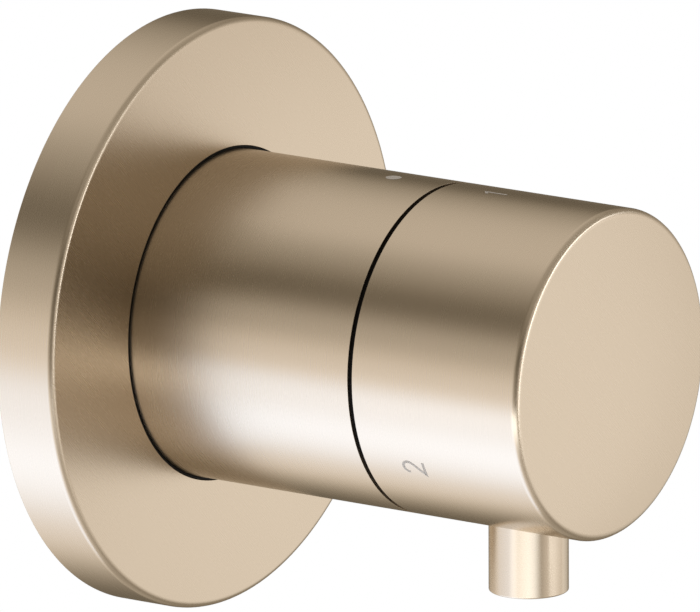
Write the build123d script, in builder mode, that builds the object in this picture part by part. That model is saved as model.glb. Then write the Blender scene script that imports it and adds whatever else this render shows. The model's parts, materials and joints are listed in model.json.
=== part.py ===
"""Concealed three-way diverter valve with its round trim, in millimetres.

The origin is the centre of the rosette's back face, on the finished wall. +Z is up, the valve's axis runs
along Y, the trim stands out of the wall towards -Y and the valve body sits in the wall towards +Y.
Distances along the axis are measured out of the wall: positive in the room, negative in the wall.
Angles about the axis start at the top and grow clockwise, as seen from the room.
"""
import os
from math import cos, radians, sin

from build123d import *

# Clearances
seat_clearance = 0.05
running_clearance = 0.05
disc_film = 0.03
free_clearance = 0.3
cut_margin = 1.0

# Trim
sleeve_diameter = 50.0
sleeve_wall = 2.0
rosette_diameter = 90.0
rosette_depth = 10.0
rosette_plate = 2.0
rosette_rim = 5.0
rosette_edge_radius = 1.0
rosette_hole_gap = 0.7
collar_wall = 2.0
seal_body_wall = 2.4
seal_body_length = 4.5
seal_recess = 0.1
gasket_width = 2.0
gasket_depth = 2.0
sleeve_start = 2.0
joint_position = 50.0
joint_gap = 0.8
edge_break = 0.15

# Handle
trim_reach = 80.0
handle_wall = 3.0
handle_end_wall = 4.0
handle_edge_radius = 0.75
pin_diameter = 12.0
pin_reach = 35.0
pin_edge_radius = 0.2
pin_seat_depth = 1.2
stud_diameter = 6.0
stud_engagement = 9.0
stud_end_gap = 0.5

# Glide ring
glide_flange_inset = 0.5
glide_wall = 2.0
glide_spigot_length = 4.0
glide_tail_length = 5.0

# Hub in the handle
hub_end_gap = 1.0
hub_boss_diameter = 17.0
hub_back_boss = 2.0
hub_web = 2.5
hub_pocket_inner = 11.0
hub_pocket_outer = 17.5
hub_pocket_half_angle = 26.0
hub_pocket_spacing = 78.0
hub_ring_section = 1.5
hub_ring_inset = 1.8
screw_diameter = 4.0
screw_length = 12.0
screw_head_diameter = 7.0
screw_head_height = 4.0
screw_key_size = 3.0
screw_key_depth = 2.2

# Spindle
journal_diameter = 12.0
spline_root_diameter = 9.0
spline_tooth_height = 0.8
spline_tooth_width = 0.75
spline_teeth = 20
spindle_flange_diameter = 16.0
spindle_flange_thickness = 2.5
tang_width = 10.0
tang_thickness = 4.0
tang_length = 3.0
stem_ring_section = 1.8
stem_ring_places = (-19.0, -12.0)
washer_thickness = 0.8

# Turning stops
stop_floor = 12.0
stop_thickness = 4.0
stop_chamber_diameter = 20.0
stop_ring_wall = 1.4
stop_radial_gap = 0.25
stop_washer_wall = 1.3
stop_half_angle = 30.0
travel = 120.0
travel_margin = 0.5
stop_key_width = 3.0
stop_key_height = 1.2
circlip_thickness = 1.0
circlip_outer_diameter = 14.0
circlip_groove_depth = 0.3
circlip_opening_half_angle = 40.0

# Valve body in the wall
body_front = -14.0
body_diameter = 48.0
chamber_diameter = 36.0
chamber_depth = 30.0
body_floor = 22.0
port_depth = 8.0
port_reach = 38.0
port_boss_diameter = 26.0
port_boss_chamfer = 1.0
port_thread_diameter = 18.6
port_thread_length = 14.0
passage_diameter = 10.0
inlet_passage_diameter = 12.0
side_passage_drop = 2.0
side_passage_start = 4.0
top_passage_start = 6.0
inlet_passage_end = 16.5
inlet_slot_width = 16.0
inlet_slot_inner = 15.5
inlet_slot_outer = 19.5
inlet_slot_front = -30.0
ear_circle_diameter = 72.0
ear_diameter = 13.0
ear_thickness = 6.0
ear_hole_diameter = 5.5
ear_count = 4

# Cartridge
disc_diameter = 26.0
port_seal_thickness = 1.5
fixed_disc_thickness = 4.0
moving_disc_thickness = 3.5
disc_port_inner = 4.0
disc_port_outer = 10.5
disc_port_half_angle = 33.0
moving_port_half_angle = 30.0
seat_hole_diameter = 7.0
seat_hole_radius = 7.5
disc_notch_width = 3.0
disc_notch_depth = 1.0
driver_thickness = 4.0
driver_peg_diameter = 3.0
driver_peg_length = 2.5
driver_peg_radius = 8.0
driver_port_inner = 6.5
cage_wall = 1.4
cage_window_width = 9.0
cage_window_length = 5.0
cage_window_count = 4
housing_flange_thickness = 6.0
housing_diameter = 26.0
housing_inset = 8.0
body_ring_section = 2.0
nut_across_flats = 36.0
nut_head_thickness = 5.0
nut_chamfer = 0.8

# Sleeve holder
holder_start = 24.0
holder_length = 14.0
holder_ring_section = 2.5
holder_ring_inset = 3.5
holder_pocket_inner = 15.5
holder_pocket_outer = 18.7
holder_pocket_half_angle = 22.0
holder_pocket_count = 6

# Angles of the three outlets and their numbers, from the top
outlet_angles = (0.0, 120.0, -120.0)
half_turn = 180.0
bottom = 180.0

# Sizes that follow from the ones above
sleeve_radius = sleeve_diameter / 2
sleeve_bore = sleeve_radius - sleeve_wall
sleeve_front = joint_position - joint_gap / 2
handle_back = joint_position + joint_gap / 2
handle_bore = sleeve_radius - handle_wall
pin_place = (joint_position + trim_reach) / 2
pin_radius = pin_diameter / 2
stud_radius = stud_diameter / 2
pin_seat = sleeve_radius - pin_seat_depth
rosette_hole = sleeve_radius + rosette_hole_gap
collar_bore = sleeve_radius + seal_body_wall + seat_clearance
rosette_inside = rosette_depth - rosette_plate
hub_back = handle_back + glide_spigot_length + hub_end_gap
hub_front = trim_reach - handle_end_wall - hub_end_gap
hub_ring_place = hub_front - hub_ring_inset
hub_boss_start = hub_back - hub_back_boss
screw_seat = hub_front - screw_head_height
spindle_front = screw_seat - hub_web - seat_clearance
spline_root = spline_root_diameter / 2
spline_outer = spline_root + spline_tooth_height
stop_washer_radius = spline_outer + stop_washer_wall
journal_radius = journal_diameter / 2
screw_radius = screw_diameter / 2
seat = body_front - chamber_depth
body_back = seat - body_floor
port_place = seat - port_depth
seal_front = seat + port_seal_thickness
fixed_disc_front = seal_front + fixed_disc_thickness
moving_disc_back = fixed_disc_front + disc_film
moving_disc_front = moving_disc_back + moving_disc_thickness
driver_front = moving_disc_front + driver_thickness
spindle_flange_front = driver_front + spindle_flange_thickness
washer_front = spindle_flange_front + washer_thickness
flange_recess = washer_front + running_clearance
flange_back = driver_front + free_clearance
flange_front = flange_back + housing_flange_thickness
disc_radius = disc_diameter / 2
cage_bore = disc_radius + seat_clearance
cage_radius = cage_bore + cage_wall
chamber_radius = chamber_diameter / 2
housing_radius = housing_diameter / 2
housing_front = joint_position - housing_inset
stop_chamber = stop_chamber_diameter / 2
stop_ring_bore = stop_chamber - seat_clearance - stop_ring_wall
stop_front = stop_floor + stop_thickness
circlip_back = stop_front + running_clearance
holder_end = holder_start + holder_length

# The profile plane has the distance out of the wall along its x and the radius along its y
profile_plane = Plane(origin=(0, 0, 0), x_dir=(0, -1, 0), z_dir=(-1, 0, 0))


def wall_plane(distance):
    """A plane square to the valve's axis that faces the room, this far out of the wall."""
    return Plane.XZ.offset(distance)


def polar_angle(angle):
    """The sketch angle on such a plane of an angle counted clockwise from the top."""
    return 90 - angle


def band(back, front, inner, outer, mode=Mode.ADD):
    """One rectangle of a turned profile: a ring between two distances and two radii."""
    with Locations(((back + front) / 2, (inner + outer) / 2)):
        Rectangle(front - back, outer - inner, mode=mode)


def o_ring(place, bore, section):
    """The round section of an O-ring that just clears the bore around it."""
    with Locations((place, bore - seat_clearance - section / 2)):
        Circle(section / 2)


def sector(inner, outer, middle, half_angle, mode=Mode.ADD):
    """A ring sector about the axis, centred on an angle from the top."""
    start = polar_angle(middle) - half_angle
    end = polar_angle(middle) + half_angle
    with BuildLine() as outline:
        inside = CenterArc((0, 0), inner, start, 2 * half_angle)
        outside = CenterArc((0, 0), outer, start, 2 * half_angle)
        Line(inside @ 0, outside @ 0)
        Line(inside @ 1, outside @ 1)
    make_face(outline.edges(), mode=mode)


def spline_outline(clearance, mode=Mode.ADD):
    """The toothed section of the spindle, or with a clearance that of the bores that fit it."""
    Circle(spline_root + clearance, mode=mode)
    with PolarLocations(spline_root, spline_teeth):
        Rectangle(2 * (spline_tooth_height + clearance), spline_tooth_width + 2 * clearance, mode=mode)


os.makedirs("parts", exist_ok=True)

# Rosette: a turned cover with a thick rim, a thin plate and a collar that holds its seal
with BuildPart() as rosette:
    with BuildSketch(profile_plane) as rosette_profile:
        band(0, rosette_depth, rosette_hole, rosette_diameter / 2)
        band(0, rosette_inside, 0, rosette_diameter / 2 - rosette_rim, mode=Mode.SUBTRACT)
        band(
            rosette_inside - seal_body_length,
            rosette_inside,
            collar_bore,
            collar_bore + collar_wall,
        )
        gasket_middle = rosette_diameter / 2 - rosette_rim / 2
        band(
            0,
            gasket_depth,
            gasket_middle - gasket_width / 2,
            gasket_middle + gasket_width / 2,
            mode=Mode.SUBTRACT,
        )
        rosette_corner = rosette_profile.vertices().group_by(Axis.X)[-1].sort_by(Axis.Y)[-1]
        fillet(rosette_corner, rosette_edge_radius)
    revolve(axis=Axis.Y)
rosette.part.label = "rosette"
export_step(rosette.part, "parts/rosette.step")

# Wall gasket: a soft ring in the groove of the rosette's rim
with BuildPart() as wall_gasket:
    with BuildSketch(profile_plane):
        band(
            0,
            gasket_depth,
            gasket_middle - gasket_width / 2 + seat_clearance,
            gasket_middle + gasket_width / 2 - seat_clearance,
        )
    revolve(axis=Axis.Y)
wall_gasket.part.label = "wall_gasket"
export_step(wall_gasket.part, "parts/wall_gasket.step")

# Rosette seal: a ring behind the plate with a lip that fills the hole around the sleeve
with BuildPart() as rosette_seal:
    with BuildSketch(profile_plane):
        band(
            rosette_inside - seal_body_length,
            rosette_inside,
            sleeve_radius + seat_clearance,
            collar_bore - seat_clearance,
        )
        band(
            rosette_inside,
            rosette_depth - seal_recess,
            sleeve_radius + seat_clearance,
            rosette_hole - seat_clearance,
        )
    revolve(axis=Axis.Y)
rosette_seal.part.label = "rosette_seal"
export_step(rosette_seal.part, "parts/rosette_seal.step")

# Sleeve: a plain tube from behind the rosette to the joint
with BuildPart() as sleeve:
    with BuildSketch(profile_plane) as sleeve_profile:
        band(sleeve_start, sleeve_front, sleeve_bore, sleeve_radius)
        sleeve_corner = sleeve_profile.vertices().group_by(Axis.X)[-1].sort_by(Axis.Y)[-1]
        chamfer(sleeve_corner, edge_break)
    revolve(axis=Axis.Y)
sleeve.part.label = "sleeve"
export_step(sleeve.part, "parts/sleeve.step")

# Glide ring: its flange is the dark joint line, its tail sits in the sleeve, its spigot guides the handle
with BuildPart() as glide_ring:
    with BuildSketch(profile_plane):
        glide_front = handle_back - 2 * running_clearance
        glide_spigot = handle_bore - running_clearance
        band(sleeve_front, glide_front, glide_spigot - glide_wall, sleeve_radius - glide_flange_inset)
        band(
            sleeve_front - glide_tail_length,
            sleeve_front,
            glide_spigot - glide_wall,
            sleeve_bore - seat_clearance,
        )
        band(
            glide_front,
            glide_front + glide_spigot_length,
            glide_spigot - glide_wall,
            glide_spigot,
        )
    revolve(axis=Axis.Y)
glide_ring.part.label = "glide_ring"
export_step(glide_ring.part, "parts/glide_ring.step")

# Sleeve holder: a moulded wheel on the cartridge housing with two ring grooves and pockets between its arms
holder_ring_places = (holder_start + holder_ring_inset, holder_end - holder_ring_inset)
with BuildPart() as sleeve_holder:
    with BuildSketch(profile_plane):
        band(holder_start, holder_end, housing_radius + seat_clearance, sleeve_bore - 2 * seat_clearance)
        for place in holder_ring_places:
            band(
                place - holder_ring_section / 2 - seat_clearance,
                place + holder_ring_section / 2 + seat_clearance,
                sleeve_bore - holder_ring_section - 2 * seat_clearance,
                sleeve_bore,
                mode=Mode.SUBTRACT,
            )
    revolve(axis=Axis.Y)
    with BuildSketch(wall_plane(holder_start)):
        for count in range(holder_pocket_count):
            pocket_angle = count * 2 * half_turn / holder_pocket_count
            sector(holder_pocket_inner, holder_pocket_outer, pocket_angle, holder_pocket_half_angle)
    extrude(amount=holder_length, mode=Mode.SUBTRACT)
sleeve_holder.part.label = "sleeve_holder"
export_step(sleeve_holder.part, "parts/sleeve_holder.step")

# Holder O-rings: two rings that grip the sleeve
with BuildPart() as holder_o_rings:
    with BuildSketch(profile_plane):
        for place in holder_ring_places:
            o_ring(place, sleeve_bore, holder_ring_section)
    revolve(axis=Axis.Y)
holder_o_rings.part.label = "holder_o_rings"
export_step(holder_o_rings.part, "parts/holder_o_rings.step")

# Valve body: a cast barrel with four port bosses and fixing ears, its chamber and its drilled passages
port_origin = (0, -port_place, 0)
port_sides = {"top": (0, 0, 1), "right": (1, 0, 0), "bottom": (0, 0, -1), "left": (-1, 0, 0)}
inner_starts = {
    "top": (0, top_passage_start),
    "right": (side_passage_start, -side_passage_drop),
    "bottom": (0, -inlet_passage_end),
    "left": (-side_passage_start, -side_passage_drop),
}
thread_bottom = port_reach - port_thread_length
with BuildPart() as valve_body:
    with BuildSketch(profile_plane):
        band(body_back, body_front, 0, body_diameter / 2)
    revolve(axis=Axis.Y)
    for direction in port_sides.values():
        with BuildSketch(Plane(port_origin, z_dir=direction)):
            Circle(port_boss_diameter / 2)
        extrude(amount=port_reach)
    with BuildSketch(wall_plane(body_back)):
        with PolarLocations(ear_circle_diameter / 2, ear_count, start_angle=half_turn / ear_count):
            Circle(ear_diameter / 2)
        with PolarLocations(ear_circle_diameter / 4, ear_count, start_angle=half_turn / ear_count):
            Rectangle(ear_circle_diameter / 2, ear_diameter)
    extrude(amount=ear_thickness)
    for direction in port_sides.values():
        boss_end = valve_body.faces().sort_by(Axis((0, 0, 0), direction))[-1]
        chamfer(boss_end.edges(), port_boss_chamfer)
    with BuildSketch(wall_plane(body_front)):
        Circle(chamber_radius)
    extrude(amount=-chamber_depth, mode=Mode.SUBTRACT)
    for side, direction in port_sides.items():
        thread_start = tuple(o + thread_bottom * d for o, d in zip(port_origin, direction))
        with BuildSketch(Plane(thread_start, z_dir=direction)):
            Circle(port_thread_diameter / 2)
        extrude(amount=port_thread_length, mode=Mode.SUBTRACT)
        start_x, start_z = inner_starts[side]
        drill = inlet_passage_diameter if side == "bottom" else passage_diameter
        run = thread_bottom - max(abs(start_x), abs(start_z))
        with BuildSketch(Plane((start_x, -port_place, start_z), z_dir=direction)):
            Circle(drill / 2)
        extrude(amount=run, mode=Mode.SUBTRACT)
    with BuildSketch(wall_plane(port_place)):
        for angle in outlet_angles:
            hole_x = seat_hole_radius * sin(radians(angle))
            hole_z = seat_hole_radius * cos(radians(angle))
            with Locations((hole_x, hole_z)):
                Circle(seat_hole_diameter / 2)
    extrude(amount=port_depth, mode=Mode.SUBTRACT)
    with BuildSketch(wall_plane(port_place)):
        with Locations((0, -(inlet_slot_inner + inlet_slot_outer) / 2)):
            Rectangle(inlet_slot_width, inlet_slot_outer - inlet_slot_inner)
    extrude(amount=inlet_slot_front - port_place, mode=Mode.SUBTRACT)
    with BuildSketch(wall_plane(body_back)):
        with PolarLocations(ear_circle_diameter / 2, ear_count, start_angle=half_turn / ear_count):
            Circle(ear_hole_diameter / 2)
    extrude(amount=ear_thickness, mode=Mode.SUBTRACT)
valve_body.part.label = "valve_body"
export_step(valve_body.part, "parts/valve_body.step")

# Port seal: a flat rubber pad with an opening at each outlet
with BuildPart() as port_seal:
    with BuildSketch(wall_plane(seat)):
        Circle(disc_radius - seat_clearance)
        for angle in outlet_angles:
            sector(disc_port_inner, disc_port_outer, angle, disc_port_half_angle, mode=Mode.SUBTRACT)
    extrude(amount=port_seal_thickness)
port_seal.part.label = "port_seal"
export_step(port_seal.part, "parts/port_seal.step")

# Fixed disc: a ceramic disc with three ports, keyed in the cage by two notches
with BuildPart() as fixed_disc:
    with BuildSketch(wall_plane(seal_front)):
        Circle(disc_radius)
        for angle in outlet_angles:
            sector(disc_port_inner, disc_port_outer, angle, disc_port_half_angle, mode=Mode.SUBTRACT)
        with PolarLocations(disc_radius, 2):
            Rectangle(2 * disc_notch_depth, disc_notch_width, mode=Mode.SUBTRACT)
    extrude(amount=fixed_disc_thickness)
fixed_disc.part.label = "fixed_disc"
export_step(fixed_disc.part, "parts/fixed_disc.step")

# Moving disc: one port that opens a single outlet, and two holes for the driver's pegs
with BuildPart() as moving_disc:
    with BuildSketch(wall_plane(moving_disc_back)):
        Circle(disc_radius - free_clearance)
        sector(disc_port_inner, disc_port_outer, outlet_angles[0], moving_port_half_angle, mode=Mode.SUBTRACT)
    extrude(amount=moving_disc_thickness)
    with BuildSketch(wall_plane(moving_disc_front)):
        with PolarLocations(driver_peg_radius, 2):
            Circle(driver_peg_diameter / 2 + seat_clearance)
    extrude(amount=-driver_peg_length - seat_clearance, mode=Mode.SUBTRACT)
moving_disc.part.label = "moving_disc"
export_step(moving_disc.part, "parts/moving_disc.step")

# Disc driver: turns the moving disc by its pegs and leaves its port open to the chamber
with BuildPart() as disc_driver:
    with BuildSketch(wall_plane(moving_disc_front)):
        Circle(disc_radius - free_clearance)
        sector(
            driver_port_inner, disc_radius, outlet_angles[0], moving_port_half_angle, mode=Mode.SUBTRACT
        )
    extrude(amount=driver_thickness)
    with BuildSketch(wall_plane(moving_disc_front)):
        with PolarLocations(driver_peg_radius, 2):
            Circle(driver_peg_diameter / 2)
    extrude(amount=-driver_peg_length)
    with BuildSketch(wall_plane(driver_front)):
        Rectangle(tang_width + 2 * seat_clearance, tang_thickness + 2 * seat_clearance)
    extrude(amount=-tang_length - seat_clearance, mode=Mode.SUBTRACT)
disc_driver.part.label = "disc_driver"
export_step(disc_driver.part, "parts/disc_driver.step")

# Cage: a moulded cup wall around the discs with water windows and two ribs that key the fixed disc
with BuildPart() as cage:
    with BuildSketch(profile_plane):
        band(seat, flange_back, cage_bore, cage_radius)
    revolve(axis=Axis.Y)
    rib_height = disc_notch_depth - seat_clearance
    with BuildSketch(wall_plane(seal_front)):
        with PolarLocations(cage_bore - rib_height / 2 + seat_clearance, 2):
            Rectangle(rib_height + 2 * seat_clearance, disc_notch_width - 2 * seat_clearance)
    extrude(amount=fixed_disc_thickness)
    window_middle = flange_back - free_clearance - cage_window_length / 2
    for count in range(cage_window_count):
        window_angle = (2 * count + 1) * half_turn / cage_window_count
        outward = (sin(radians(window_angle)), 0, cos(radians(window_angle)))
        with BuildSketch(Plane((0, -window_middle, 0), x_dir=(0, -1, 0), z_dir=outward)):
            Rectangle(cage_window_length, cage_window_width)
        extrude(amount=chamber_radius, mode=Mode.SUBTRACT)
cage.part.label = "cage"
export_step(cage.part, "parts/cage.step")

# Cartridge housing: a long neck with the spindle's bearing bore, a sealed flange and the stop chamber
flange_ring_place = (flange_back + flange_front) / 2
with BuildPart() as cartridge_housing:
    with BuildSketch(profile_plane):
        band(flange_back, flange_front, 0, chamber_radius - 2 * seat_clearance)
        band(flange_front, housing_front, 0, housing_radius)
        band(flange_back, housing_front, 0, journal_radius + running_clearance, mode=Mode.SUBTRACT)
        band(
            flange_back,
            flange_recess,
            0,
            spindle_flange_diameter / 2 + free_clearance,
            mode=Mode.SUBTRACT,
        )
        band(stop_floor, housing_front, 0, stop_chamber, mode=Mode.SUBTRACT)
        band(
            flange_ring_place - body_ring_section / 2 - seat_clearance,
            flange_ring_place + body_ring_section / 2 + seat_clearance,
            chamber_radius - body_ring_section - 2 * seat_clearance,
            chamber_radius,
            mode=Mode.SUBTRACT,
        )
    revolve(axis=Axis.Y)
    with BuildSketch(wall_plane(stop_floor)):
        with Locations((0, -stop_chamber)):
            Rectangle(stop_key_width + 2 * seat_clearance, 2 * stop_key_height + 2 * seat_clearance)
    extrude(amount=housing_front - stop_floor, mode=Mode.SUBTRACT)
cartridge_housing.part.label = "cartridge_housing"
export_step(cartridge_housing.part, "parts/cartridge_housing.step")

# Body O-ring: seals the housing's flange in the chamber
with BuildPart() as body_o_ring:
    with BuildSketch(profile_plane):
        o_ring(flange_ring_place, chamber_radius, body_ring_section)
    revolve(axis=Axis.Y)
body_o_ring.part.label = "body_o_ring"
export_step(body_o_ring.part, "parts/body_o_ring.step")

# Gland nut: screws into the body and clamps the cartridge's flange
with BuildPart() as gland_nut:
    with BuildSketch(profile_plane):
        band(flange_front, body_front, 0, chamber_radius - seat_clearance)
    revolve(axis=Axis.Y)
    with BuildSketch(wall_plane(body_front)):
        RegularPolygon(nut_across_flats / 2, 6, major_radius=False)
    extrude(amount=nut_head_thickness)
    nut_face = gland_nut.faces().sort_by(Axis.Y)[0]
    chamfer(nut_face.edges(), nut_chamfer)
    with BuildSketch(wall_plane(flange_front)):
        Circle(housing_radius + seat_clearance)
    extrude(amount=body_front + nut_head_thickness - flange_front, mode=Mode.SUBTRACT)
gland_nut.part.label = "gland_nut"
export_step(gland_nut.part, "parts/gland_nut.step")

# Stop ring: keyed in the housing, its lug ends the spindle's travel
with BuildPart() as stop_ring:
    with BuildSketch(wall_plane(stop_floor)):
        Circle(stop_chamber - seat_clearance)
        Circle(stop_ring_bore, mode=Mode.SUBTRACT)
        sector(
            stop_washer_radius + stop_radial_gap,
            stop_ring_bore + stop_ring_wall / 2,
            bottom,
            stop_half_angle,
        )
        with Locations((0, -stop_chamber)):
            Rectangle(stop_key_width, 2 * stop_key_height)
    extrude(amount=stop_thickness)
stop_ring.part.label = "stop_ring"
export_step(stop_ring.part, "parts/stop_ring.step")

# Stop washer: splined on the spindle, its lug meets the stop ring's at both ends of the travel
washer_lug_half_angle = half_turn - travel - travel_margin - stop_half_angle
with BuildPart() as stop_washer:
    with BuildSketch(wall_plane(stop_floor + running_clearance)):
        Circle(stop_washer_radius)
        sector(
            stop_washer_radius - stop_radial_gap,
            stop_ring_bore - stop_radial_gap,
            outlet_angles[0],
            washer_lug_half_angle,
        )
        spline_outline(seat_clearance, mode=Mode.SUBTRACT)
    extrude(amount=stop_thickness - running_clearance)
stop_washer.part.label = "stop_washer"
export_step(stop_washer.part, "parts/stop_washer.step")

# Spindle: drives the discs with its tang, runs in the housing on two rings and carries the hub on its spline
with BuildPart() as spindle:
    with BuildSketch(profile_plane):
        band(driver_front, spindle_flange_front, 0, spindle_flange_diameter / 2)
        band(spindle_flange_front, stop_floor + running_clearance, 0, journal_radius)
        for place in stem_ring_places:
            band(
                place - stem_ring_section / 2 - seat_clearance,
                place + stem_ring_section / 2 + seat_clearance,
                journal_radius - stem_ring_section,
                journal_radius,
                mode=Mode.SUBTRACT,
            )
    revolve(axis=Axis.Y)
    with BuildSketch(wall_plane(driver_front)):
        Rectangle(tang_width, tang_thickness)
    extrude(amount=-tang_length)
    with BuildSketch(wall_plane(stop_floor + running_clearance)):
        spline_outline(0)
    extrude(amount=spindle_front - stop_floor - running_clearance)
    with BuildSketch(profile_plane):
        band(
            circlip_back,
            circlip_back + circlip_thickness + seat_clearance,
            spline_root - circlip_groove_depth,
            spline_outer + seat_clearance,
        )
        band(spindle_front - screw_length, spindle_front, 0, screw_radius + seat_clearance)
    revolve(axis=Axis.Y, mode=Mode.SUBTRACT)
spindle.part.label = "spindle"
export_step(spindle.part, "parts/spindle.step")

# Spindle O-rings: two rings in the journal's grooves
with BuildPart() as spindle_o_rings:
    with BuildSketch(profile_plane):
        for place in stem_ring_places:
            o_ring(place, journal_radius + running_clearance, stem_ring_section)
    revolve(axis=Axis.Y)
spindle_o_rings.part.label = "spindle_o_rings"
export_step(spindle_o_rings.part, "parts/spindle_o_rings.step")

# Slip washer: a thin low-friction ring in front of the spindle's flange
with BuildPart() as slip_washer:
    with BuildSketch(profile_plane):
        band(
            spindle_flange_front,
            washer_front,
            journal_radius + seat_clearance,
            spindle_flange_diameter / 2,
        )
    revolve(axis=Axis.Y)
slip_washer.part.label = "slip_washer"
export_step(slip_washer.part, "parts/slip_washer.step")

# Circlip: keeps the stop washer and the spindle in place
with BuildPart() as circlip:
    with BuildSketch(wall_plane(circlip_back)):
        Circle(circlip_outer_diameter / 2)
        Circle(spline_root - circlip_groove_depth + seat_clearance, mode=Mode.SUBTRACT)
        sector(
            journal_radius / 4,
            circlip_outer_diameter,
            bottom,
            circlip_opening_half_angle,
            mode=Mode.SUBTRACT,
        )
    extrude(amount=circlip_thickness)
circlip.part.label = "circlip"
export_step(circlip.part, "parts/circlip.step")

# Hub: carries the handle on the spline, pocketed between its boss and its rim
hub_radius = handle_bore - 2 * seat_clearance
with BuildPart() as hub:
    with BuildSketch(profile_plane):
        band(hub_back, hub_front, 0, hub_radius)
        band(hub_boss_start, hub_back, 0, hub_boss_diameter / 2)
        band(screw_seat, hub_front, 0, screw_head_diameter / 2 + free_clearance, mode=Mode.SUBTRACT)
        band(hub_boss_start, hub_front, 0, screw_radius + seat_clearance, mode=Mode.SUBTRACT)
        band(
            hub_ring_place - hub_ring_section / 2 - seat_clearance,
            hub_ring_place + hub_ring_section / 2 + seat_clearance,
            handle_bore - hub_ring_section - 2 * seat_clearance,
            handle_bore,
            mode=Mode.SUBTRACT,
        )
    revolve(axis=Axis.Y)
    with BuildSketch(wall_plane(hub_boss_start)):
        spline_outline(seat_clearance)
    extrude(amount=spindle_front + seat_clearance - hub_boss_start, mode=Mode.SUBTRACT)
    with BuildSketch(wall_plane(hub_back)):
        for angle in (0, hub_pocket_spacing, -hub_pocket_spacing):
            sector(hub_pocket_inner, hub_pocket_outer, angle, hub_pocket_half_angle)
    extrude(amount=hub_front - hub_back, mode=Mode.SUBTRACT)
    with BuildSketch(Plane((0, -pin_place, -hub_radius - cut_margin), z_dir=(0, 0, 1))):
        Circle(stud_radius + seat_clearance)
    extrude(amount=cut_margin + stud_engagement + stud_end_gap, mode=Mode.SUBTRACT)
hub.part.label = "hub"
export_step(hub.part, "parts/hub.step")

# Hub ring: takes up the play between the hub and the handle
with BuildPart() as hub_o_ring:
    with BuildSketch(profile_plane):
        o_ring(hub_ring_place, handle_bore, hub_ring_section)
    revolve(axis=Axis.Y)
hub_o_ring.part.label = "hub_o_ring"
export_step(hub_o_ring.part, "parts/hub_o_ring.step")

# Hub screw: a socket screw that ties the hub to the spindle
with BuildPart() as hub_screw:
    with BuildSketch(profile_plane):
        band(screw_seat, hub_front, 0, screw_head_diameter / 2)
        band(screw_seat - screw_length, screw_seat, 0, screw_radius)
    revolve(axis=Axis.Y)
    with BuildSketch(wall_plane(hub_front)):
        RegularPolygon(screw_key_size / 2, 6, major_radius=False)
    extrude(amount=-screw_key_depth, mode=Mode.SUBTRACT)
hub_screw.part.label = "hub_screw"
export_step(hub_screw.part, "parts/hub_screw.step")

# Handle: a deep cup over the hub, closed in front, with a pocket for the pin in its underside
with BuildPart() as handle:
    with BuildSketch(profile_plane) as handle_profile:
        band(handle_back, trim_reach, 0, sleeve_radius)
        band(handle_back, trim_reach - handle_end_wall, 0, handle_bore, mode=Mode.SUBTRACT)
        front_corner = handle_profile.vertices().group_by(Axis.X)[-1].sort_by(Axis.Y)[-1]
        fillet(front_corner, handle_edge_radius)
        back_corner = handle_profile.vertices().group_by(Axis.X)[0].sort_by(Axis.Y)[-1]
        chamfer(back_corner, edge_break)
    revolve(axis=Axis.Y)
    with BuildSketch(Plane((0, -pin_place, -pin_seat), z_dir=(0, 0, -1))):
        Circle(pin_radius + seat_clearance)
    extrude(amount=handle_wall, mode=Mode.SUBTRACT)
    with BuildSketch(Plane((0, -pin_place, -handle_bore + handle_wall), z_dir=(0, 0, -1))):
        Circle(stud_radius + seat_clearance)
    extrude(amount=2 * handle_wall, mode=Mode.SUBTRACT)
handle.part.label = "handle"
export_step(handle.part, "parts/handle.step")

# Lever pin: a short round bar seated in the handle, its stud screwed through the wall into the hub
with BuildPart() as lever_pin:
    with BuildSketch(Plane((0, -pin_place, -pin_seat), z_dir=(0, 0, -1))):
        Circle(pin_radius)
    extrude(amount=pin_reach - pin_seat)
    pin_end = lever_pin.faces().sort_by(Axis.Z)[0]
    fillet(pin_end.edges(), pin_edge_radius)
    with BuildSketch(Plane((0, -pin_place, -pin_seat), z_dir=(0, 0, 1))):
        Circle(stud_radius)
    extrude(amount=pin_seat - hub_radius + stud_engagement)
lever_pin.part.label = "lever_pin"
export_step(lever_pin.part, "parts/lever_pin.step")
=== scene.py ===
"""Dresses the three-way diverter valve: brushed trim, marks, seals, pipe threads and a plain studio.

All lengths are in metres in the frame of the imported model. +Z is up, the valve's axis runs along Y and the
trim stands out of the wall, the plane y = 0, towards -Y. A distance is measured out of the wall, and an
angle about the axis starts at the top and grows clockwise as seen from the room.
"""

import json
import math

import bmesh
import bpy
import numpy as np
from bpy.props import FloatProperty, FloatVectorProperty, IntProperty, PointerProperty
from mathutils import Matrix, Vector


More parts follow.
